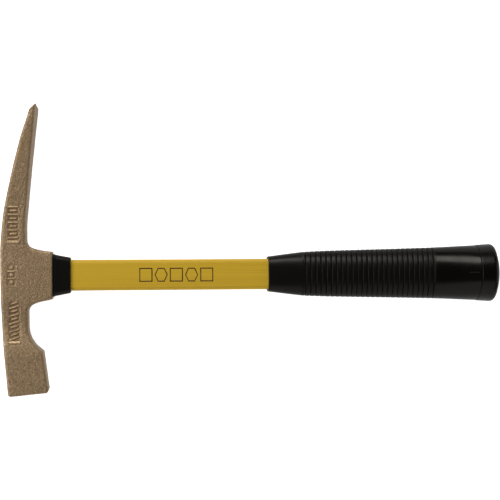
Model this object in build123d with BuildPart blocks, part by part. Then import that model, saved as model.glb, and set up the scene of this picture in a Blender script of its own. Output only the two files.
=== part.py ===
from build123d import *
import os

# Brick hammer: a cast bronze head bonded to a fibreglass bar with a moulded grip.
# It lies flat on its side. +X runs along the handle from the head to the butt,
# +Y points to the chisel and +Z is up. The origin is under the middle of the
# whole hammer, on the surface that it lies on. All sizes are in millimetres.

# ---- Whole tool ----
overall_length = 358.0      # crown of the head to the end of the butt
chisel_reach = 120.6        # handle axis to the cutting edge
poll_reach = 85.0           # handle axis to the lowest corner of the striking face
chisel_width = 41.0         # cutting edge, side to side

crown_x = -overall_length / 2
axis_y = (poll_reach - chisel_reach) / 2
axis_z = chisel_width / 2

# ---- Head ----
poll_width = 27.4           # side to side; the striking face is as tall as it is wide
boss_width = 26.0           # side to side, round the eye
neck_width = 22.6           # side to side, between the eye and the poll
blade_width = 31.6          # side to side, halfway up the blade
boss_end = 36.2             # crown to the flat end of the eye boss
boss_reach = 16.7           # handle axis to the upper and lower sides of the boss
long_edge_radius = 1.6      # rounding along the sides of the blade, boss, neck and poll
tip_stock = 3.0             # the casting runs this far past the cutting edge until it is ground

# ---- Eye and its resin ----
eye_height = 24.1           # at the handle end, towards chisel and poll
eye_width = 16.4            # at the handle end, side to side
eye_corner = 3.4
eye_flare = 0.8             # how much further out the wall is on every side at the crown
resin_recess = 0.8          # resin surface below the crown

# ---- Fibreglass bar ----
bar_height = 21.9
bar_width = 14.2
bar_corner = 3.0
bar_start = 1.4             # front end of the bar below the crown
bar_end = 347.0             # back end of the bar, inside the butt cap

# ---- Collar ----
collar_end = 49.0
collar_front = (boss_end, 30.5, 22.6, 4.0)      # distance, height, width and corner radius
collar_back = (collar_end, 25.6, 18.2, 3.6)
collar_rim = 0.5

# ---- Grip ----
grip_start = 189.2
grip_rim = 1.2              # rounding of the sleeve's front rim
seam_at = 341.3             # where the sleeve meets the butt cap
bond_start = grip_start + 4.0
bond_thickness = 0.3
groove_count = 26
first_groove = 215.9        # middle of the first groove
last_groove = 308.3
groove_width = 1.3
groove_depth = 0.8
butt_dome = 48.0            # radius of the slightly domed end
butt_rim = 3.5              # rounding round the butt's end
# Distance behind the crown, then height, width and corner radius of the oval section.
sleeve_front = (grip_start, 25.2, 18.8, 6.0)
sleeve_grooved = (first_groove, 31.9, 21.6, 9.4)
sleeve_waist = (last_groove, 36.8, 27.0, 12.8)
sleeve_flare = (326.3, 38.5, 31.6, 15.2)
sleeve_back = (seam_at, 39.9, 39.2, 19.0)
# The butt cap is nearly round and starts a little proud of the sleeve.
cap_front = (seam_at, 40.4, 39.8, 19.4)
cap_back = (overall_length, 42.4, 40.8, 20.0)


def across(distance):
    """A plane across the handle, that far behind the crown: local x points to the chisel."""
    return Plane(origin=(crown_x + distance, axis_y, axis_z), x_dir=(0, 1, 0), z_dir=(1, 0, 0))


def section(distance, height, width, corner):
    """A rounded section across the handle, centred on its axis."""
    with BuildSketch(across(distance)) as outline:
        RectangleRounded(height, width, corner)
    return outline.sketch


def lofted_sections(*sections, mode=Mode.ADD):
    """A straight-sided body through sections of (distance, height, width, corner)."""
    for front, back in zip(sections, sections[1:]):
        loft([section(*front), section(*back)], ruled=True, mode=mode)


def between(front, back, share):
    """The section that lies this share of the way from one section to another."""
    return [start + share * (end - start) for start, end in zip(front, back)]


def bar_body(start, end, clearance=0.0, mode=Mode.ADD):
    """The bar's section with an even clearance round it, from one distance to another."""
    height = bar_height + 2 * clearance
    width = bar_width + 2 * clearance
    extrude(section(start, height, width, bar_corner + clearance), amount=end - start, mode=mode)


def eye_body(mode=Mode.ADD):
    """The tapered hole through the head, widest at the crown, run a little past both ends."""
    margin = 1.0
    crown_end = (-margin, eye_height + 2 * eye_flare, eye_width + 2 * eye_flare, eye_corner)
    handle_end = (boss_end + margin, eye_height, eye_width, eye_corner)
    lofted_sections(crown_end, handle_end, mode=mode)


os.makedirs("parts", exist_ok=True)

# ---- Head: a side outline crossed with an end outline, then rounded, ground and bored ----
# In the side view local x is the distance behind the crown and local y the reach from the axis.
side_view = Plane(origin=(crown_x, axis_y, axis_z))
blade_heel = (17.7, 20.9)
boss_upper = (boss_end, boss_reach)
boss_lower = (boss_end, -boss_reach)
neck_top = (19.0, -22.2)
neck_bottom = (19.4, -45.8)
shoulder = (29.5, -54.0)
poll_back = (3.6, -66.5)
face_front = (33.5, -82.4)
face_back = (5.25, -poll_reach)
cutting_edge = (25.6, chisel_reach)
tip_reach = chisel_reach + tip_stock
tip_inner = (26.0, tip_reach)
tip_outer = (22.0, tip_reach)

with BuildPart() as head:
    with BuildSketch(side_view):
        with BuildLine():
            # Handle side, from the blade's tip to the boss.
            FilletPolyline(
                tip_inner,
                (21.4, 78.5),
                (17.7, 37.4),
                blade_heel,
                (26.0, 18.0),
                boss_upper,
                radius=[400.0, 100.0, 6.0, 25.0],
            )
            Line(boss_upper, boss_lower)
            # Underside of the boss, neck and poll, round the striking face to the crown side.
            FilletPolyline(
                boss_lower,
                (25.4, -19.0),
                neck_top,
                neck_bottom,
                shoulder,
                radius=[25.0, 5.5, 20.0],
            )
            FilletPolyline(shoulder, face_front, face_back, poll_back, radius=[2.2, 1.8])
            # Crown side: one slow curve from the poll to the blade's tip.
            Spline(
                poll_back,
                (1.4, -38.3),
                (0.25, -8.0),
                (0.4, 23.6),
                (2.8, 45.9),
                (8.75, 73.7),
                (16.3, 101.5),
                (20.8, 115.5),
                tip_outer,
            )
            Line(tip_outer, tip_inner)
        make_face()
    extrude(amount=chisel_width, both=True)
    # In the end view local x is the reach from the axis and local y is half of a width.
    poll_corner = (-poll_reach - 1, poll_width / 2)
    poll_front = (-58.0, poll_width / 2)
    boss_bottom = (-14.0, boss_width / 2)
    boss_top = (boss_reach, boss_width / 2)
    chisel_side = (chisel_reach, chisel_width / 2)
    tip_corner = (tip_reach + 1, chisel_width / 2)
    with BuildSketch(across(0)):
        with BuildLine():
            Polyline((poll_corner[0], 0), poll_corner, poll_front)
            Spline(poll_front, (-36.0, neck_width / 2), boss_bottom, tangents=[(1, 0), (1, 0)])
            Line(boss_bottom, boss_top)
            Spline(boss_top, (70.0, blade_width / 2), chisel_side, tangents=[(1, 0), (1, 0)])
            Polyline(chisel_side, tip_corner, (tip_corner[0], 0))
            mirror(about=Plane.XZ)
        make_face()
    extrude(amount=2 * boss_end, both=True, mode=Mode.INTERSECT)
    # Round the outline's edges on both sides, apart from those of the flat boss end.
    sides = head.faces().filter_by(lambda face: abs(face.normal_at().Z) > 0.9)
    rims = sides.edges().filter_by(Axis.X, reverse=True)
    rims = rims.filter_by_position(Axis.X, crown_x - 1, crown_x + boss_end - 0.1)
    fillet(rims, radius=long_edge_radius)
    # Grind the cutting edge at 45 degrees from the crown side.
    edge_x, edge_y = cutting_edge
    with BuildSketch(side_view):
        with BuildLine():
            Polyline(
                (edge_x - 10, edge_y - 10),
                (edge_x + tip_stock + 1, edge_y + tip_stock + 1),
                (edge_x - 10, edge_y + tip_stock + 1),
                close=True,
            )
        make_face()
    extrude(amount=chisel_width, both=True, mode=Mode.SUBTRACT)
    eye_body(mode=Mode.SUBTRACT)
head.part.label = "head"
export_step(head.part, "parts/head.step")

# ---- Fibreglass bar: runs through the head and the collar and inside the grip ----
with BuildPart() as handle_core:
    bar_body(bar_start, bar_end)
    fillet(handle_core.edges().group_by(Axis.X)[-1], radius=0.6)
handle_core.part.label = "handle_core"
export_step(handle_core.part, "parts/handle_core.step")

# ---- Resin: fills the gap between the eye's wall and the bar ----
with BuildPart() as eye_epoxy:
    eye_body()
    split(bisect_by=across(resin_recess), keep=Keep.TOP)
    split(bisect_by=across(boss_end), keep=Keep.BOTTOM)
    bar_body(bar_start, boss_end, mode=Mode.SUBTRACT)
eye_epoxy.part.label = "eye_epoxy"
export_step(eye_epoxy.part, "parts/eye_epoxy.step")

# ---- Collar: tapered boot round the bar, against the boss's flat end ----
with BuildPart() as head_collar:
    lofted_sections(collar_front, collar_back)
    fillet(head_collar.edges().group_by(Axis.X)[-1], radius=collar_rim)
    bar_body(boss_end - 1, collar_end + 1, mode=Mode.SUBTRACT)
head_collar.part.label = "head_collar"
export_step(head_collar.part, "parts/head_collar.step")

# ---- Grip sleeve: tapered oval with evenly spaced grooves round it ----
with BuildPart() as grip_sleeve:
    lofted_sections(sleeve_front, sleeve_grooved, sleeve_waist, sleeve_flare, sleeve_back)
    fillet(grip_sleeve.edges().group_by(Axis.X)[0], radius=grip_rim)
    for index in range(groove_count):
        distance, height, width, corner = between(
            sleeve_grooved, sleeve_waist, index / (groove_count - 1)
        )
        with BuildSketch(across(distance)):
            Rectangle(2 * height, 2 * width)
            RectangleRounded(
                height - 2 * groove_depth,
                width - 2 * groove_depth,
                corner - groove_depth,
                mode=Mode.SUBTRACT,
            )
        extrude(amount=groove_width / 2, both=True, mode=Mode.SUBTRACT)
    bar_body(grip_start - 1, seam_at + 1, mode=Mode.SUBTRACT)
    bar_body(bond_start, seam_at + 1, clearance=bond_thickness, mode=Mode.SUBTRACT)
grip_sleeve.part.label = "grip_sleeve"
export_step(grip_sleeve.part, "parts/grip_sleeve.step")

# ---- Grip bond: the film of adhesive between the bar and the sleeve ----
with BuildPart() as grip_bond:
    bar_body(bond_start, seam_at, clearance=bond_thickness)
    bar_body(bond_start, seam_at, mode=Mode.SUBTRACT)
grip_bond.part.label = "grip_bond"
export_step(grip_bond.part, "parts/grip_bond.step")

# ---- Butt cap: rounded end, with a shallow pocket for the bar ----
with BuildPart() as butt_cap:
    lofted_sections(cap_front, cap_back)
    # The ball is turned so that its seam and poles lie clear of the end.
    with Locations(across(overall_length - butt_dome)):
        Sphere(butt_dome, rotation=(0, 90, 0), mode=Mode.INTERSECT)
    end_face = butt_cap.faces().sort_by(Axis.X)[-1]
    fillet(end_face.outer_wire().edges(), radius=butt_rim)
    bar_body(seam_at - 1, bar_end, mode=Mode.SUBTRACT)
butt_cap.part.label = "butt_cap"
export_step(butt_cap.part, "parts/butt_cap.step")
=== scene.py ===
import math

import bmesh
import bpy
import numpy as np
from mathutils import Matrix, Vector


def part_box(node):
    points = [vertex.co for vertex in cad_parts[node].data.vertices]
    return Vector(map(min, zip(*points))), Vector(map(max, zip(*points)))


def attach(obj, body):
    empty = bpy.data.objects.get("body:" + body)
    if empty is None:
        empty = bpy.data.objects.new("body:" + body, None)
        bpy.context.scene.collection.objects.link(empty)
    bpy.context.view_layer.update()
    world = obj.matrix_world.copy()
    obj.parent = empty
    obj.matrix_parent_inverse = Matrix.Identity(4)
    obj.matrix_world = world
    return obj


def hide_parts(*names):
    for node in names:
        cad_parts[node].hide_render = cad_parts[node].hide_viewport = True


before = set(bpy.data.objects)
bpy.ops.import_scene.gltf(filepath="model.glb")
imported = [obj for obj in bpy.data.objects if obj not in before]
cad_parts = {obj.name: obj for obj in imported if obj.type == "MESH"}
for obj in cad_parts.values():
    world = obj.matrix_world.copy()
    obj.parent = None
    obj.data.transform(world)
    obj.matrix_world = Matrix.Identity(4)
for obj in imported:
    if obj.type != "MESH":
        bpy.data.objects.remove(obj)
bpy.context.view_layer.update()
MM = 0.001

# ---------------------------------------------------------------- places read from the frame
# Distances along the handle are measured from the crown of the head, in metres, and
# reaches across it from the handle's own axis, plus towards the chisel.
head_low, head_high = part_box("head")
bar_low, bar_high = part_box("handle_core")
collar_low, collar_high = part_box("head_collar")
sleeve_low, sleeve_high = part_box("grip_sleeve")
cap_low, cap_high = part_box("butt_cap")
crown_x = head_low.x
axis_y = (bar_low.y + bar_high.y) / 2
axis_z = (bar_low.z + bar_high.z) / 2
bar_height = bar_high.y - bar_low.y
bar_width = bar_high.z - bar_low.z
bar_corner = 3.0 * MM
bar_power = 7.0     # an oval this square has about the bar's corners
oval_points = 120


# ---------------------------------------------------------------- mesh helpers
def new_piece(name, vertices, faces, replaced=()):
    """A smooth-shaded mesh that rides on the one rigid body."""
    mesh = bpy.data.meshes.new(name)
    mesh.from_pydata([tuple(v) for v in vertices], [], faces)
    mesh.validate()
    return adopt(name, mesh, replaced)


def adopt(name, mesh, replaced=()):
    piece = bpy.data.objects.new(name, mesh)
    bpy.context.scene.collection.objects.link(piece)
    mesh.shade_smooth()
    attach(piece, "root")
    if replaced:
        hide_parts(*replaced)
    return piece


def rounded_ring(distance, height, width, corner, corner_steps=12, side_steps=8):
    """Points round a rounded rectangle across the handle, in order, all sizes in metres."""
    half_y, half_z = height / 2, width / 2
    corner = min(corner, half_y * 0.999, half_z * 0.999)
    ring = []
    for quarter in range(4):
        sign_y = (1, -1, -1, 1)[quarter]
        sign_z = (1, 1, -1, -1)[quarter]
        centre = np.array([sign_y * (half_y - corner), sign_z * (half_z - corner)])
        start = quarter * math.pi / 2
        for step in range(corner_steps + 1):
            angle = start + step / corner_steps * math.pi / 2
            ring.append(centre + corner * np.array([math.cos(angle), math.sin(angle)]))
        next_y = (-1, -1, 1, 1)[quarter]
        next_z = (1, -1, -1, 1)[quarter]
        next_centre = np.array([next_y * (half_y - corner), next_z * (half_z - corner)])
        end_angle = start + math.pi / 2
        first = ring[-1]
        last = next_centre + corner * np.array([math.cos(end_angle), math.sin(end_angle)])
        for step in range(1, side_steps):
            ring.append(first + (last - first) * step / side_steps)
    points = np.zeros((len(ring), 3))
    points[:, 0] = crown_x + distance
    points[:, 1:] = np.array(ring) + [axis_y, axis_z]
    return points


def oval_ring(distance, height, width, power, bulge=0.0):
    """Points round an oval across the handle: power 2 is an ellipse and more is squarer.
    With a bulge, its +Z and -Z sides lie that much further back than its +Y and -Y ends."""
    angles = np.arange(oval_points) / oval_points * 2 * math.pi
    y = np.sign(np.cos(angles)) * np.abs(np.cos(angles)) ** (2 / power) * height / 2
    z = np.sign(np.sin(angles)) * np.abs(np.sin(angles)) ** (2 / power) * width / 2
    x = crown_x + distance + bulge * (2 * z / width) ** 2
    return np.stack([x, axis_y + y, axis_z + z], axis=1)


def bore_ring(distance, gap):
    """The bar's section with a gap round it, as a ring that matches oval_ring. In millimetres."""
    height, width = bar_height + 2 * gap * MM, bar_width + 2 * gap * MM
    return oval_ring(distance * MM, height, width, bar_power)


def shell_from_rings(rings, closed=False, tips=False):
    """Vertices and faces of a skin over rings of equal length, closed back on itself or with
    a fan at each end."""
    count = len(rings[0])
    vertices = np.concatenate(rings)
    faces = []
    pairs = list(zip(range(len(rings)), range(1, len(rings))))
    if closed:
        pairs.append((len(rings) - 1, 0))
    for a, b in pairs:
        for i in range(count):
            j = (i + 1) % count
            faces.append((a * count + i, a * count + j, b * count + j, b * count + i))
    if tips:
        first, last = len(vertices), len(vertices) + 1
        vertices = np.vstack([vertices, rings[0].mean(axis=0), rings[-1].mean(axis=0)])
        base = (len(rings) - 1) * count
        for i in range(count):
            j = (i + 1) % count
            faces.append((first, j, i))
            faces.append((last, base + i, base + j))
    return vertices, faces


def quarter_round(radius, steps):
    """Pairs of (how far along, how far inside) round a convex quarter, from the end face out."""
    for angle in np.linspace(0, math.pi / 2, steps):
        yield radius * (1 - math.cos(angle)), radius * (1 - math.sin(angle))


def smooth_step(value):
    value = np.clip(value, 0, 1)
    return value * value * (3 - 2 * value)


def rise(value, start, end):
    """0 up to the start and 1 from the end on, with a smooth rise between them."""
    return smooth_step((value - start) / (end - start))


def cell_noise(points, cell, seed):
    """Smooth seeded noise from -1 to 1, with features about one cell across."""
    tile = 48
    table = np.random.default_rng(seed).uniform(-1, 1, (tile, tile, tile))
    place = np.asarray(points) / cell
    base = np.floor(place).astype(int)
    part = smooth_step(place - base)
    total = np.zeros(len(place))
    for corner in range(8):
        step = np.array([corner & 1, corner >> 1 & 1, corner >> 2 & 1])
        share = np.prod(np.where(step, part, 1 - part), axis=1)
        x, y, z = ((base + step) % tile).T
        total += share * table[x, y, z]
    return total


def read_mesh(mesh):
    count = len(mesh.vertices)
    places = np.zeros(count * 3)
    normals = np.zeros(count * 3)
    mesh.vertices.foreach_get("co", places)
    mesh.vertex_normals.foreach_get("vector", normals)
    return places.reshape(-1, 3), normals.reshape(-1, 3)


def write_mesh(mesh, places):
    mesh.vertices.foreach_set("co", np.ascontiguousarray(places, dtype=np.float32).ravel())
    mesh.update()


def neighbour_mean(mesh, values):
    """For each vertex, the mean of a value over the vertices it shares an edge with."""
    ends = np.zeros(len(mesh.edges) * 2, dtype=np.int64)
    mesh.edges.foreach_get("vertices", ends)
    first, second = ends.reshape(-1, 2).T
    total = np.zeros_like(values)
    count = np.zeros(len(values))
    np.add.at(total, first, values[second])
    np.add.at(total, second, values[first])
    np.add.at(count, first, 1)
    np.add.at(count, second, 1)
    count = np.maximum(count, 1)
    return total / (count[:, None] if values.ndim == 2 else count)


def store(mesh, name, values):
    attribute = mesh.attributes.new(name, "FLOAT", "POINT")
    attribute.data.foreach_set("value", np.asarray(values, dtype=np.float32))


# ---------------------------------------------------------------- material helpers
class Look:
    """A principled material with short calls for the nodes that vary it."""

    def __init__(self, name, **constants):
        self.material = bpy.data.materials.new(name)
        self.material.use_nodes = True
        self.tree = self.material.node_tree
        self.shader = self.tree.nodes["Principled BSDF"]
        for socket, value in constants.items():
            self.shader.inputs[socket.replace("_", " ")].default_value = value
        self.place = self.tree.nodes.new("ShaderNodeTexCoord").outputs["Object"]
        self.height = None

    def node(self, kind, **links):
        made = self.tree.nodes.new(kind)
        for socket, source in links.items():
            self.feed(source, made.inputs[socket.replace("_", " ")])
        return made

    def feed(self, source, socket):
        if isinstance(source, bpy.types.NodeSocket):
            self.tree.links.new(source, socket)
        else:
            socket.default_value = source

    def stretched(self, scale):
        return self.node("ShaderNodeMapping", Vector=self.place, Scale=scale).outputs["Vector"]

    def noise(self, scale, detail=4.0, roughness=0.55, place=None):
        """Smooth noise with about that many features in a metre."""
        made = self.node("ShaderNodeTexNoise", Vector=place or self.place)
        made.inputs["Scale"].default_value = scale
        made.inputs["Detail"].default_value = detail
        made.inputs["Roughness"].default_value = roughness
        return made.outputs["Fac"]

    def spread(self, value, low, high, to_low=0.0, to_high=1.0):
        """Maps low to to_low and high to to_high, and holds the value at those beyond them."""
        made = self.node("ShaderNodeMapRange", Value=value)
        made.inputs["From Min"].default_value = low
        made.inputs["From Max"].default_value = high
        made.inputs["To Min"].default_value = to_low
        made.inputs["To Max"].default_value = to_high
        return made.outputs["Result"]

    def blend(self, share, first, second):
        """A colour between the first and the second, by the share of the second."""
        first_colour, second_colour, result_colour = 6, 7, 2
        made = self.tree.nodes.new("ShaderNodeMix")
        made.data_type = "RGBA"
        self.feed(share, made.inputs["Factor"])
        self.feed(first, made.inputs[first_colour])
        self.feed(second, made.inputs[second_colour])
        return made.outputs[result_colour]

    def sum(self, first, second):
        made = self.tree.nodes.new("ShaderNodeMath")
        self.feed(first, made.inputs[0])
        self.feed(second, made.inputs[1])
        return made.outputs[0]

    def attribute(self, name):
        made = self.tree.nodes.new("ShaderNodeAttribute")
        made.attribute_name = name
        return made.outputs["Fac"]

    def bump(self, height, distance, strength):
        """Adds a relief that many metres deep on top of any that is there already."""
        made = self.node("ShaderNodeBump", Height=height)
        made.inputs["Distance"].default_value = distance
        made.inputs["Strength"].default_value = strength
        if self.height is not None:
            self.tree.links.new(self.height, made.inputs["Normal"])
        self.height = made.outputs["Normal"]
        self.tree.links.new(self.height, self.shader.inputs["Normal"])

    def drive(self, socket, source):
        self.tree.links.new(source, self.shader.inputs[socket])


def srgb(red, green, blue):
    """A colour given as 0-255 screen values, as the shader's linear values."""
    def linear(value):
        value /= 255
        return value / 12.92 if value <= 0.04045 else ((value + 0.055) / 1.055) ** 2.4

    return (linear(red), linear(green), linear(blue), 1.0)


# ---------------------------------------------------------------- materials
def bronze_look():
    """Sand-cast bronze: darker pits, paler lumps, wear with painted highlight, painted shade in
    fields.
    """
    plain, plain_pale = srgb(167, 140, 107), srgb(174, 148, 115)
    pitted, raised, grainy = srgb(124, 98, 70), srgb(212, 183, 143), srgb(88, 70, 50)
    rubbed_and_lit, field_shade_brown = srgb(222, 194, 150), srgb(98, 68, 40)
    look = Look("cast_bronze", Metallic=0.75, Specular_IOR_Level=0.5)
    wide = look.noise(60, 3)
    lump = look.noise(950, 4, 0.6)
    grain = look.noise(2600, 3, 0.6)
    tone = look.blend(look.spread(wide, 0.35, 0.65), plain, plain_pale)
    tone = look.blend(look.spread(lump, 0.5, 0.7, 0.0, 0.75), tone, pitted)
    tone = look.blend(look.spread(lump, 0.48, 0.32, 0.0, 0.65), tone, raised)
    tone = look.blend(look.spread(grain, 0.5, 0.8, 0.0, 0.6), tone, grainy)
    # The wear attribute lightens convex edges and mark tops: rubbing wear and a painted highlight.
    worn_and_lit = look.spread(look.attribute("wear"), 0.0, 1.0)
    tone = look.blend(worn_and_lit, tone, rubbed_and_lit)
    # Painted shade: the sunk fields between the marks are darkened towards a brown.
    field_shade = look.spread(look.attribute("field_shade"), 0.0, 1.0, 0.0, 0.45)
    tone = look.blend(field_shade, tone, field_shade_brown)
    look.drive("Base Color", tone)
    rough = look.spread(lump, 0.3, 0.7, 0.4, 0.54)
    look.drive("Roughness", look.sum(rough, look.spread(worn_and_lit, 0.0, 1.0, 0.0, -0.1)))
    look.bump(lump, 0.5 * MM, 0.7)
    look.bump(grain, 0.1 * MM, 0.7)
    return look.material


def fibreglass_look():
    """Drawn fibreglass: the noise is stretched along the bar into fibres and wider bands."""
    yellow, deep_yellow = srgb(217, 177, 51), srgb(211, 171, 47)
    dark_fibre, pale_fibre, fleck = srgb(186, 146, 34), srgb(226, 188, 54), srgb(150, 116, 34)
    look = Look("pultruded_fibreglass", Specular_IOR_Level=0.22)
    fibre = look.noise(1.0, 5, 0.6, look.stretched((9, 1100, 1100)))
    band = look.noise(1.0, 3, 0.5, look.stretched((4, 260, 260)))
    speck = look.noise(1800, 2)
    tone = look.blend(look.spread(band, 0.35, 0.65), yellow, deep_yellow)
    tone = look.blend(look.spread(fibre, 0.5, 0.75, 0.0, 0.5), tone, dark_fibre)
    tone = look.blend(look.spread(fibre, 0.45, 0.25, 0.0, 0.5), tone, pale_fibre)
    tone = look.blend(look.spread(speck, 0.64, 0.8, 0.0, 0.3), tone, fleck)
    look.drive("Base Color", tone)
    look.drive("Roughness", look.spread(fibre, 0.3, 0.7, 0.42, 0.58))
    look.bump(fibre, 0.02 * MM, 0.5)
    return look.material


def black_look(name, tone, rough, polished=None):
    """Moulded black plastic. Where the mesh says so, it is polished down to that roughness."""
    warm_gloss = (1.0, 0.93, 0.85, 1.0)
    smear_dulling, smear_roughening = 0.7, 0.07
    look = Look(name, Specular_IOR_Level=0.28, Specular_Tint=warm_gloss)
    smear = look.noise(90, 4)
    fine = look.noise(2600, 2)
    dull = srgb(*[value * smear_dulling for value in tone])
    look.drive("Base Color", look.blend(look.spread(smear, 0.35, 0.7), srgb(*tone), dull))
    roughness = look.spread(smear, 0.3, 0.7, rough, rough + smear_roughening)
    if polished is not None:
        less = look.spread(look.attribute("polish"), 0.0, 1.0, 0.0, polished - rough)
        roughness = look.sum(roughness, less)
    look.drive("Roughness", roughness)
    look.bump(fine, 0.012 * MM, 0.4)
    return look.material


def resin_look():
    amber, pale_amber, bubble_dark = srgb(48, 36, 20), srgb(58, 44, 25), srgb(30, 24, 16)
    look = Look("eye_resin", Specular_IOR_Level=0.5, Coat_Weight=0.3)
    flow = look.noise(260, 4)
    bubble = look.noise(1500, 1)
    tone = look.blend(look.spread(flow, 0.3, 0.7), amber, pale_amber)
    look.drive("Base Color", look.blend(look.spread(bubble, 0.66, 0.8), tone, bubble_dark))
    look.drive("Roughness", look.spread(flow, 0.3, 0.7, 0.26, 0.34))
    look.bump(bubble, 0.1 * MM, 0.5)
    return look.material


def adhesive_look():
    cured, pale_cured = srgb(120, 112, 92), srgb(150, 142, 118)
    look = Look("grip_adhesive", Specular_IOR_Level=0.4)
    flow = look.noise(300, 4)
    look.drive("Base Color", look.blend(look.spread(flow, 0.3, 0.7), cured, pale_cured))
    look.drive("Roughness", look.spread(flow, 0.3, 0.7, 0.4, 0.6))
    look.bump(flow, 0.05 * MM, 0.5)
    return look.material


def ink_look():
    ink, thin_ink = srgb(60, 42, 14), srgb(92, 68, 20)
    look = Look("printed_ink", Specular_IOR_Level=0.3)
    wear = look.noise(900, 4)
    look.drive("Base Color", look.blend(look.spread(wear, 0.4, 0.75), ink, thin_ink))
    look.drive("Roughness", look.spread(wear, 0.3, 0.7, 0.45, 0.6))
    look.bump(wear, 0.02 * MM, 0.4)
    return look.material


# ---------------------------------------------------------------- head
# Cast fields on the camera side of the head: nearest and furthest distance behind the crown,
# lowest and highest reach, and depth, in millimetres.
blade_field = (4.9, 14.0, 22.6, 50.0, 0.3)
neck_field = (5.3, 14.4, -47.9, -17.4, 0.3)
centre_field = (4.2, 11.8, -7.6, 8.6, 0.2)
field_corner = 2.2
field_wall = 1.8        # how far in from its outline a field reaches its depth, mm
field_margin = 0.6      # the mesh is made finer this far beyond the fields too, mm
mark_height = 0.8
mark_slope = 0.7        # breadth of the slope round a mark, mm
bevel_start = 114       # reach at which the chisel's ground bevel begins, mm
bevel_blend = 5
bevel_smoothing = 0.7   # how much of the cast skin the grinding has taken away
# Waves, lumps and grain of the sand-cast skin: height and breadth in mm, and seed.
skin_waves = ((0.09, 9, 11), (0.05, 3.1, 12), (0.07, 1.1, 13))


def rounded_distance(across, along, half_across, half_along, corner):
    """Signed distance to a rounded rectangle, minus inside."""
    over_a = np.abs(across) - half_across + corner
    over_b = np.abs(along) - half_along + corner
    outside = np.hypot(np.maximum(over_a, 0), np.maximum(over_b, 0))
    return outside + np.minimum(np.maximum(over_a, over_b), 0) - corner


def cast_marks():
    """A plain pattern with no lettering: raised bars across each field, long and short in turn.
    Each is (distance, reach, half length, half thickness, turn), in mm and radians."""
    marks = []
    end_bar, first_bar, spare = 4.4, 1.2, 3.0
    for field, count, turn in ((blade_field, 9, 0.0), (neck_field, 10, 0.3)):
        near, far, low, high, _ = field
        middle = (near + far) / 2
        pitch = (high - low - spare) / count
        marks.append((middle, low + first_bar, end_bar, 1.0, 0.0))
        for index in range(1, count + 1):
            half_length = (2.3, 3.6)[index % 2]
            marks.append((middle, low + first_bar + index * pitch, half_length, 0.5, turn))
    middle = (centre_field[0] + centre_field[1]) / 2
    for reach in (-4.6, 0.5, 5.6):
        marks.append((middle, reach, 1.2, 1.1, 0.0))
    for reach in (-2.05, 3.05):
        marks.append((middle, reach, 2.5, 0.4, 0.0))
    return marks


def cast_relief(u, v):
    """Depth of the cast fields and height of the marks in them, in millimetres."""
    sunk = np.zeros_like(u)
    for near, far, low, high, depth in (blade_field, neck_field, centre_field):
        across, along = u - (near + far) / 2, v - (low + high) / 2
        edge = rounded_distance(across, along, (far - near) / 2, (high - low) / 2, field_corner)
        sunk = np.maximum(sunk, depth * smooth_step(-edge / field_wall))
    raised = np.zeros_like(u)
    for centre_u, centre_v, half_length, half_thickness, turn in cast_marks():
        du, dv = u - centre_u, v - centre_v
        along = du * math.cos(turn) + dv * math.sin(turn)
        across = dv * math.cos(turn) - du * math.sin(turn)
        corner = half_thickness * 0.9
        shape = rounded_distance(along, across, half_length, half_thickness, corner)
        raised = np.maximum(raised, smooth_step(0.5 - shape / mark_slope))
    return sunk, raised * mark_height


def in_fields(u, v, margin):
    """Whether each place is in a cast field or within the margin round it."""
    inside = np.zeros(len(u), dtype=bool)
    for near, far, low, high, _ in (blade_field, neck_field, centre_field):
        within_u = (u > near - margin) & (u < far + margin)
        within_v = (v > low - margin) & (v < high + margin)
        inside |= within_u & within_v
    return inside


def side_places(places):
    """Distance behind the crown and reach from the handle's axis, in millimetres."""
    return (places[:, 0] - crown_x) / MM, (places[:, 1] - axis_y) / MM


def even_head_mesh(voxel):
    """The CAD head as an even mesh, smoothed without shrinking and finer where marks stand."""
    smoothing = (0.5, -0.53) * 6
    facing_up = 0.7
    source = bmesh.new()
    source.from_mesh(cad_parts["head"].data)
    bmesh.ops.remove_doubles(source, verts=source.verts, dist=0.001 * MM)
    mesh = bpy.data.meshes.new("head_source")
    source.to_mesh(mesh)
    source.free()
    solid = bpy.data.objects.new("head_source", mesh)
    bpy.context.scene.collection.objects.link(solid)
    remesh = solid.modifiers.new("even", "REMESH")
    remesh.mode = "VOXEL"
    remesh.voxel_size = voxel
    graph = bpy.context.evaluated_depsgraph_get()
    even = bpy.data.meshes.new_from_object(solid.evaluated_get(graph))
    bpy.data.objects.remove(solid)
    # Each step that smooths is followed by one that swells a little more, so the size stays.
    places, _ = read_mesh(even)
    for share in smoothing:
        places = places + share * (neighbour_mean(even, places) - places)
    write_mesh(even, places)
    fine = bmesh.new()
    fine.from_mesh(even)
    fine.verts.ensure_lookup_table()
    places, normals = read_mesh(even)
    u, v = side_places(places)
    marked = in_fields(u, v, field_margin) & (normals[:, 2] > facing_up)
    edges = [e for e in fine.edges if marked[e.verts[0].index] and marked[e.verts[1].index]]
    bmesh.ops.subdivide_edges(fine, edges=edges, cuts=1, use_grid_fill=True)
    fine.to_mesh(even)
    fine.free()
    return even


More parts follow.
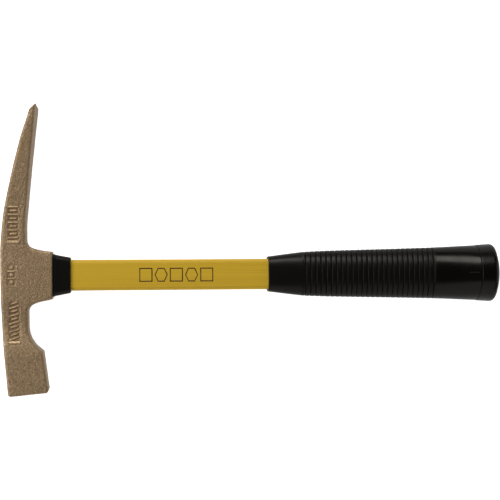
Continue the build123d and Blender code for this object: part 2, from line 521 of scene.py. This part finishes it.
def head_casting():
    voxel = 0.55 * MM
    even = even_head_mesh(voxel)
    places, normals = read_mesh(even)
    u, v = side_places(places)
    skin = sum(size * cell_noise(places, breadth * MM, seed) for size, breadth, seed in skin_waves)
    skin *= 1 - bevel_smoothing * rise(v, bevel_start, bevel_start + bevel_blend)
    facing = rise(normals[:, 2], 0.5, 0.9)
    sunk, raised = cast_relief(u, v)
    # Convex edges and the tops of the marks are painted lighter, in patches: rubbing wear plus a
    # painted highlight where they catch the light.
    bend = np.einsum("ij,ij->i", places - neighbour_mean(even, places), normals) / voxel
    for _ in range(2):
        bend = neighbour_mean(even, bend)
    patch_size, patch_seed = 2.2 * MM, 14
    patchy = 0.55 + 0.45 * cell_noise(places, patch_size, patch_seed)
    edge_wear_and_highlight = 0.3 * rise(bend, 0.06, 0.22) * patchy
    mark_wear_and_highlight = facing * rise(raised, 0.4, 0.8) * (0.3 + 0.4 * patchy)
    # Painted shade: the sunk fields are darkened brown between the marks, where shade falls.
    field_shade = facing * rise(sunk, 0.0, 0.3) * (1 - rise(raised, 0.0, 0.4))
    height = skin + facing * (raised - sunk)
    carved = places + normals * (height * MM)[:, None]
    write_mesh(even, np.clip(carved, np.array(head_low), np.array(head_high)))
    # This wear attribute holds both the rubbing wear and the painted highlight.
    store(even, "wear", np.maximum(edge_wear_and_highlight, mark_wear_and_highlight))
    store(even, "field_shade", field_shade)
    even.materials.clear()
    even.materials.append(bronze_look())
    adopt("head_casting", even, ["head"])


# ---------------------------------------------------------------- bar and print
def handle_bar():
    length = bar_high.x - bar_low.x
    start = bar_low.x - crown_x
    edge_inset, edge_reach = 0.45 * MM, 0.6 * MM
    ring_count, corner_steps, side_steps = 200, 16, 26
    rings = []
    for station in np.linspace(start, start + length, ring_count):
        from_end = min(station - start, start + length - station)
        inset = edge_inset * (1 - smooth_step(from_end / edge_reach))
        height, width = bar_height - 2 * inset, bar_width - 2 * inset
        corner = bar_corner - inset
        rings.append(rounded_ring(station, height, width, corner, corner_steps, side_steps))
    vertices, faces = shell_from_rings(rings, tips=True)
    # Drawn fibres leave fine ridges along the bar: height and breadth in mm, and seed.
    ridges = ((0.008, 0.5, 21), (0.012, 2.0, 22))
    highest = 0.02          # both ridges together, so that the skin stays inside the bar's box
    lengthwise = 0.012      # the noise is stretched this much along the bar
    across = vertices[:, 1:] - [axis_y, axis_z]
    outward = across / np.maximum(np.linalg.norm(across, axis=1), 1e-9)[:, None]
    stretched = vertices * [lengthwise, 1, 1]
    ridge = sum(size * cell_noise(stretched, breadth * MM, seed) for size, breadth, seed in ridges)
    vertices[:, 1:] += outward * ((ridge - highest) * MM)[:, None]
    bar = new_piece("fibreglass_bar", vertices, faces, ["handle_core"])
    bar.data.materials.append(fibreglass_look())


def outline(corners, line, centre_x, centre_y):
    """Outer and inner points of a closed outline with lines that thick, in metres."""
    outer = np.array(corners)
    inner = outer * (1 - line / np.abs(outer).max())
    return outer + [centre_x, centre_y], inner + [centre_x, centre_y]


def ribbon_faces(base, sides):
    """Faces of a flat closed ribbon whose rings of vertices are, from the base on, the lower
    outer and inner one and then the upper outer and inner one."""
    low_out, low_in, high_out, high_in = (base + ring * sides for ring in range(4))
    faces = []
    for i in range(sides):
        j = (i + 1) % sides
        faces.append((high_out + i, high_out + j, high_in + j, high_in + i))
        faces.append((low_out + j, low_out + i, low_in + i, low_in + j))
        faces.append((low_out + i, low_out + j, high_out + j, high_out + i))
        faces.append((low_in + j, low_in + i, high_in + i, high_in + j))
    return faces


def printed_marks():
    """A row of plain outlined rectangles and hexagons, printed on the bar: no lettering."""
    first, last, count = 96.5 * MM, 150.5 * MM, 5
    tall = 4.9 * MM         # from the bar's middle to the edge of a shape
    half_share = 0.43       # a shape's half length, as a share of the pitch
    flat_share = 0.5        # a hexagon's flat side, as a share of its length
    line = 0.75 * MM
    lift, thickness = 0.02 * MM, 0.03 * MM
    pitch = (last - first) / count
    top = axis_z + bar_width / 2
    half = pitch * half_share
    flat = half * flat_share
    rectangle = [(half, tall), (-half, tall), (-half, -tall), (half, -tall)]
    hexagon = [(half, 0), (flat, tall), (-flat, tall), (-half, 0), (-flat, -tall), (flat, -tall)]
    vertices, faces = [], []
    for index in range(count):
        corners = (rectangle, hexagon)[index % 2]
        centre_x = crown_x + first + (index + 0.5) * pitch
        faces += ribbon_faces(len(vertices), len(corners))
        for level in (lift, lift + thickness):
            for loop in outline(corners, line, centre_x, axis_y):
                vertices += [(x, y, top + level) for x, y in loop]
    marks = new_piece("printed_marks", vertices, faces)
    marks.data.materials.append(ink_look())


# ---------------------------------------------------------------- collar
# The collar's front corner, and at its back the height, width and corner, in millimetres.
collar_front_corner = 4.0
collar_back = (25.6, 18.2, 3.6)
collar_bore_gap = 0.05
collar_mouth_gap = 0.35
collar_lip = 0.6        # how far the bead's rounded front edge reaches, mm
collar_step = 0.25      # how far the taper lies below the bead, mm
collar_rim = 0.8        # radius of the rolled rim at the back, mm


def collar():
    start = (collar_low.x - crown_x) / MM
    end = (collar_high.x - crown_x) / MM
    front_size = ((collar_high.y - collar_low.y) / MM, (collar_high.z - collar_low.z) / MM)
    front = np.array([*front_size, collar_front_corner])
    back = np.array(collar_back)

    def outer(distance, inset):
        share = (distance - start) / (end - start)
        height, width, corner = front + (back - front) * share
        corner = max(corner - inset, 1.0)
        return rounded_ring(
            distance * MM, (height - 2 * inset) * MM, (width - 2 * inset) * MM, corner * MM
        )

    def bore(distance, gap):
        height, width = bar_height + 2 * gap * MM, bar_width + 2 * gap * MM
        return rounded_ring(distance * MM, height, width, bar_corner + gap * MM)

    # The end face, a bead with a flat top, a shallow step, then the taper and a rolled rim.
    taper_rings = 24
    face = start + collar_bore_gap
    rings = [bore(face, collar_bore_gap), outer(face, 0.9)]
    for along, inset in quarter_round(collar_lip - collar_bore_gap, 6):
        rings.append(outer(face + along, inset))
    rings.append(outer(start + 1.5, 0.0))
    rings.append(outer(start + 1.8, 0.22))
    for distance in np.linspace(start + 2.4, end - 1.0, taper_rings):
        rings.append(outer(distance, collar_step))
    for along, inset in reversed(list(quarter_round(collar_rim, 8))):
        rings.append(outer(end - along, collar_step + inset))
    rings.append(bore(end, collar_mouth_gap))
    rings.append(bore(end - 0.5, collar_bore_gap))
    vertices, faces = shell_from_rings(rings, closed=True)
    piece = new_piece("collar_boot", vertices, faces, ["head_collar"])
    piece.data.materials.append(black_look("collar_rubber", (17, 15, 12), 0.34))


# ---------------------------------------------------------------- grip
# Down the sleeve: distance behind the crown, height and width in millimetres, and how square.
sleeve_stations = np.array([
    (189.2, 25.2, 18.8, 3.4),
    (200.0, 28.0, 20.0, 3.1),
    (208.0, 30.0, 20.8, 2.8),
    (215.9, 31.8, 21.6, 2.5),
    (233.0, 33.2, 22.6, 2.3),
    (256.0, 34.3, 24.0, 2.25),
    (280.0, 35.4, 25.3, 2.15),
    (308.3, 36.9, 27.0, 2.1),
    (318.0, 37.7, 29.2, 2.05),
    (328.0, 38.7, 32.2, 2.0),
    (336.0, 39.4, 36.0, 2.0),
    (341.3, 39.9, 39.2, 2.0),
])
first_groove = 215.9
last_groove = 308.3
groove_count = 26
groove_half = 0.36      # half a groove's width at the surface, mm
groove_depth = 0.62
rib_shoulder = 0.95     # how far each rib's rounded shoulder reaches from its edge, mm
rib_drop = 0.36         # how far that shoulder falls, mm
seam_bulge = 0.8        # the seam's middle runs this much further back than its ends, mm
groove_pitch = (last_groove - first_groove) / (groove_count - 1)
# How far the bores of the sleeve and the cap stay off the bar: where they touch it, and where
# the sleeve leaves room for the film of adhesive. In millimetres.
touching_gap = 0.05
film_gap = 0.3


def sleeve_ring(distance, inset):
    """The sleeve's oval at a distance in millimetres, that much inside its surface."""
    stations = sleeve_stations[:, 0]
    height, width, power = [np.interp(distance, stations, sizes) for sizes in sleeve_stations.T[1:]]
    bulge = seam_bulge * rise(distance, last_groove, stations[-1])
    return oval_ring(
        distance * MM, (height - 2 * inset) * MM, (width - 2 * inset) * MM, power, bulge=bulge * MM
    )


def groove_inset(away):
    """How far the ribbed surface lies below the oval, from the distance to a groove's middle."""
    shoulder = rib_drop * max(1 - away / rib_shoulder, 0.0) ** 2
    return groove_depth * max(1 - away / groove_half, 0.0) + shoulder


def grip_sleeve():
    start = (sleeve_low.x - crown_x) / MM
    end = (sleeve_high.x - crown_x) / MM
    front_edge, seam_edge = 0.6, 0.5
    mouth_gap = 0.4
    rings = [bore_ring(start + 0.6, touching_gap), bore_ring(start + 0.1, mouth_gap)]
    for along, inset in quarter_round(front_edge, 8):
        rings.append(sleeve_ring(start + along, inset))
    for distance in np.linspace(start + 1.0, first_groove - groove_pitch / 2, 36):
        rings.append(sleeve_ring(distance, 0.0))
    # Each groove has the same rings, closest together in the groove and at its edges.
    steps = (0.0, 0.12, 0.24, 0.36, 0.47, 0.6, 0.76, 0.95, 1.35, groove_pitch / 2)
    for index in range(groove_count):
        middle = first_groove + index * groove_pitch
        for step in steps[:0:-1]:
            rings.append(sleeve_ring(middle - step, groove_inset(step)))
        for step in steps[:-1]:
            rings.append(sleeve_ring(middle + step, groove_inset(step)))
    for distance in np.linspace(last_groove + groove_pitch / 2, end - 0.9, 44):
        rings.append(sleeve_ring(distance, 0.0))
    for along, inset in reversed(list(quarter_round(seam_edge, 6))):
        rings.append(sleeve_ring(end - along, inset))
    rings.append(bore_ring(end, film_gap))
    rings.append(bore_ring(end - 1.0, film_gap))
    rings.append(bore_ring(start + 5.0, film_gap))
    rings.append(bore_ring(start + 4.0, touching_gap))
    vertices, faces = shell_from_rings(rings, closed=True)
    piece = new_piece("ribbed_sleeve", vertices, faces, ["grip_sleeve"])
    # The smooth zone behind the ribs is polished by the hand.
    places, _ = read_mesh(piece.data)
    behind, _ = side_places(places)
    store(piece.data, "polish", rise(behind, last_groove + 1.0, last_groove + 2.5))
    piece.data.materials.append(black_look("grip_plastic", (9, 8, 6), 0.34, 0.2))


# The butt cap's oval at the seam and at its end: height and width in millimetres.
cap_seam = np.array([40.4, 39.8])
cap_end = np.array([42.4, 40.8])
cap_dome = 48.0         # radius of the shallow dome at the end, mm
cap_rim = 3.5           # radius of the rounded rim round it, mm
cap_edge = 0.5          # radius of the edge at the seam, mm


def cap_ring(distance, inset, start, end):
    share = (distance - start) / (end - start)
    height, width = cap_seam + (cap_end - cap_seam) * share - 2 * inset
    bulge_reach = 0.6
    bulge = seam_bulge * (1 - rise(share, 0.0, bulge_reach))
    return oval_ring(distance * MM, height * MM, width * MM, 2.0, bulge=bulge * MM)


def butt_cap():
    start = (cap_low.x - crown_x) / MM
    end = (cap_high.x - crown_x) / MM
    bar_end = (bar_high.x - crown_x) / MM
    # The socket for the bar's end: a ring in its floor, its corner and its mouth.
    floor_ring = -5.0
    rings = [bore_ring(bar_end + touching_gap, floor_ring)]
    rings.append(bore_ring(bar_end + touching_gap, touching_gap))
    rings.append(bore_ring(start + touching_gap, touching_gap))
    for along, inset in quarter_round(cap_edge, 6):
        rings.append(cap_ring(start + touching_gap + along, inset, start, end))
    half = cap_end[0] / 2
    rim_foot = end - (cap_dome - math.sqrt(cap_dome ** 2 - (half - cap_rim) ** 2)) - cap_rim
    for distance in np.linspace(start + 1.0, rim_foot, 16):
        rings.append(cap_ring(distance, 0.0, start, end))
    # The rim turns in until it meets the shallow dome.
    tilt = math.asin((half - cap_rim) / cap_dome)
    for angle in np.linspace(0, math.pi / 2 - tilt, 10)[1:]:
        along, inset = cap_rim * math.sin(angle), cap_rim * (1 - math.cos(angle))
        rings.append(cap_ring(rim_foot + along, inset, start, end))
    last = rings[-1]
    apex = np.array([crown_x + end * MM, axis_y, axis_z])
    for share in np.linspace(0.93, 0.05, 14):
        ring = apex + (last - apex) * [0, share, share]
        radius = np.hypot(ring[:, 1] - axis_y, ring[:, 2] - axis_z)
        ring[:, 0] = apex[0] - (cap_dome * MM - np.sqrt((cap_dome * MM) ** 2 - radius ** 2))
        rings.append(ring)
    vertices, faces = shell_from_rings(rings, tips=True)
    piece = new_piece("butt_end_cap", vertices, faces, ["butt_cap"])
    piece.data.materials.append(black_look("cap_plastic", (8, 7, 5), 0.24))


def moulding_tick():
    """A low moulded line on the sleeve's smooth zone, just in front of the seam."""
    first, last, half_breadth, height = 332.4, 340.6, 0.22, 0.12
    sunk, aside = 0.2, 0.4
    steps = 12
    vertices, faces = [], []
    for step in range(steps + 1):
        distance = first + (last - first) * step / steps
        half_width = np.interp(distance, sleeve_stations[:, 0], sleeve_stations[:, 2]) / 2
        # It narrows and lowers over the first and the last quarter.
        taper = min(1.0, 4 * step / steps + 0.1, 4 * (steps - step) / steps + 0.1)
        low = axis_z + (half_width - sunk) * MM
        top = axis_z + (half_width + height * taper) * MM
        breadth = half_breadth * taper * MM
        x = crown_x + distance * MM
        y = axis_y + aside * MM
        vertices += [
            (x, y - breadth, low), (x, y - breadth / 2, top),
            (x, y + breadth / 2, top), (x, y + breadth, low),
        ]
    for step in range(steps):
        a, b = step * 4, step * 4 + 4
        for i in range(4):
            j = (i + 1) % 4
            faces.append((a + i, b + i, b + j, a + j))
    faces.append((0, 1, 2, 3))
    faces.append(tuple(steps * 4 + i for i in (3, 2, 1, 0)))
    piece = new_piece("moulding_tick", vertices, faces)
    piece.data.materials.append(black_look("tick_plastic", (30, 28, 25), 0.3))


# ---------------------------------------------------------------- carried-over CAD nodes
def dress_cad_nodes():
    for node, look in (("eye_epoxy", resin_look()), ("grip_bond", adhesive_look())):
        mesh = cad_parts[node].data
        mesh.materials.clear()
        mesh.materials.append(look)


# ---------------------------------------------------------------- studio
def floor():
    """A pale floor that lights itself, so that it comes out nearly white. Glossy rays miss it."""
    half, glow = 3.0, 0.92
    corners = [(-half, -half, 0), (half, -half, 0), (half, half, 0), (-half, half, 0)]
    mesh = bpy.data.meshes.new("floor")
    mesh.from_pydata(corners, [], [(0, 1, 2, 3)])
    ground = bpy.data.objects.new("floor", mesh)
    bpy.context.scene.collection.objects.link(ground)
    look = Look("pale_floor", Base_Color=(0.8, 0.8, 0.8, 1), Roughness=0.9, Specular_IOR_Level=0.0)
    look.shader.inputs["Emission Color"].default_value = (1, 1, 1, 1)
    look.shader.inputs["Emission Strength"].default_value = glow
    mesh.materials.append(look.material)
    ground.visible_glossy = False


def softbox(name, azimuth, elevation, distance, width, height, radiance, along=0.0):
    """An area light aimed at the hammer, in degrees and metres. Azimuth 0 is +X and 90 is +Y, and
    along moves the light and its aim that far towards +X."""
    light = bpy.data.lights.new(name, "AREA")
    light.shape = "RECTANGLE"
    light.size, light.size_y = width, height
    # A radiance L from a one-sided lambertian panel takes pi * area * L watts.
    light.energy = math.pi * width * height * radiance
    lamp = bpy.data.objects.new(name, light)
    bpy.context.scene.collection.objects.link(lamp)
    a, e = math.radians(azimuth), math.radians(elevation)
    direction = Vector((math.cos(a) * math.cos(e), math.sin(a) * math.cos(e), math.sin(e)))
    lamp.location = Vector((along, 0, axis_z)) + direction * distance
    lamp.rotation_mode = "QUATERNION"
    lamp.rotation_quaternion = direction.to_track_quat("Z", "Y")


def surroundings():
    """White all round, stronger below the horizon than above it."""
    below, above, horizon = 0.55, 0.03, 0.1
    world = bpy.data.worlds.new("studio")
    world.use_nodes = True
    background = world.node_tree.nodes["Background"]
    background.inputs["Color"].default_value = (1, 1, 1, 1)
    # The floor isn't mirrored, so glossy rays that go down meet this softer white instead.
    tree = world.node_tree
    ways = tree.nodes.new("ShaderNodeTexCoord")
    parts = tree.nodes.new("ShaderNodeSeparateXYZ")
    level = tree.nodes.new("ShaderNodeMapRange")
    level.inputs["From Min"].default_value = -horizon
    level.inputs["From Max"].default_value = horizon
    level.inputs["To Min"].default_value = below
    level.inputs["To Max"].default_value = above
    tree.links.new(ways.outputs["Generated"], parts.inputs["Vector"])
    tree.links.new(parts.outputs["Z"], level.inputs["Value"])
    tree.links.new(level.outputs["Result"], background.inputs["Strength"])
    bpy.context.scene.world = world


def studio():
    floor()
    surroundings()
    key_aim = -0.31
    softbox(
        "key", azimuth=90, elevation=39, distance=1.6,
        width=1.38, height=0.66, radiance=5.0, along=key_aim,
    )
    softbox("left", azimuth=180, elevation=36, distance=1.6, width=1.2, height=0.9, radiance=3.6)
    softbox("right", azimuth=0, elevation=18, distance=1.6, width=1.6, height=0.9, radiance=0.7)
    softbox("low", azimuth=-90, elevation=28, distance=1.2, width=1.6, height=1.2, radiance=0.55)
    bpy.context.scene.view_settings.view_transform = "Standard"


def camera():
    """Above the bar, a little behind the head, and turned a little towards the butt."""
    place = Vector((-96.36, -8.83, 1069.5)) * MM
    yaw, pitch, roll = 0.0895, 0.0079, -0.0058
    sensor, focal_share = 36.0, 2.9316      # the lens is this many times the picture's width
    data = bpy.data.cameras.new("camera")
    data.sensor_width = sensor
    data.lens = sensor * focal_share
    data.clip_start = 0.05
    view = bpy.data.objects.new("camera", data)
    bpy.context.scene.collection.objects.link(view)
    turn = Matrix.Rotation(-yaw, 4, "Y")
    tilt = Matrix.Rotation(pitch, 4, "X")
    spin = Matrix.Rotation(roll, 4, "Z")
    view.matrix_world = Matrix.Translation(place) @ turn @ tilt @ spin
    bpy.context.scene.camera = view


camera()
head_casting()
handle_bar()
printed_marks()
collar()
grip_sleeve()
butt_cap()
moulding_tick()
dress_cad_nodes()
studio()
